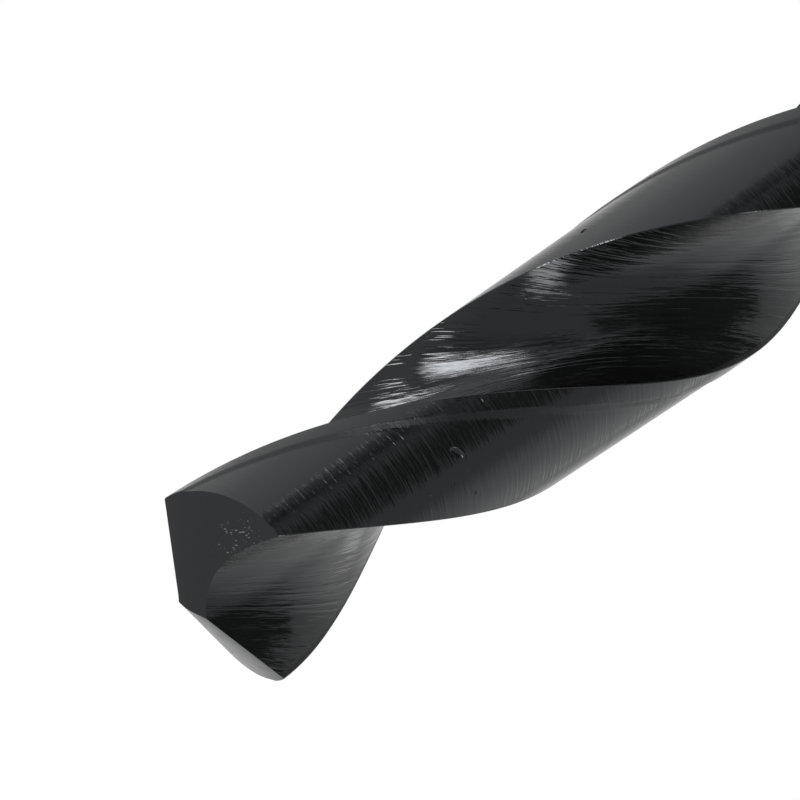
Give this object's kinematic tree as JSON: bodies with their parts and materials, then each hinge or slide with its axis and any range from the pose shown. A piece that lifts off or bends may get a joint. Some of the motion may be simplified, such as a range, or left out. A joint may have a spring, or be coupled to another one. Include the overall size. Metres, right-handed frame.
{
  "type": "twist drill bit",
  "caption": "Jobber-length twist drill bit with right-hand helical flutes, ground margins, a relieved point and a plain straight shank, standing on its shank end.",
  "frame": {"origin": "centre of the flat end of the shank, on the drill's axis, where the drill stands", "axes": "+Z along the drill's axis from the shank end to the point; +X along the lip that starts at the first outer corner, seen along the axis"},
  "size_m": [0.008, 0.008, 0.1171],
  "materials": {
    "black_oxide_steel": "ground high-speed steel, blackened by a steam oxide finish, worn bright at the edges"
  },
  "bodies": {
    "root": {"twist_drill": "black_oxide_steel"}
  },
  "joints": []
}
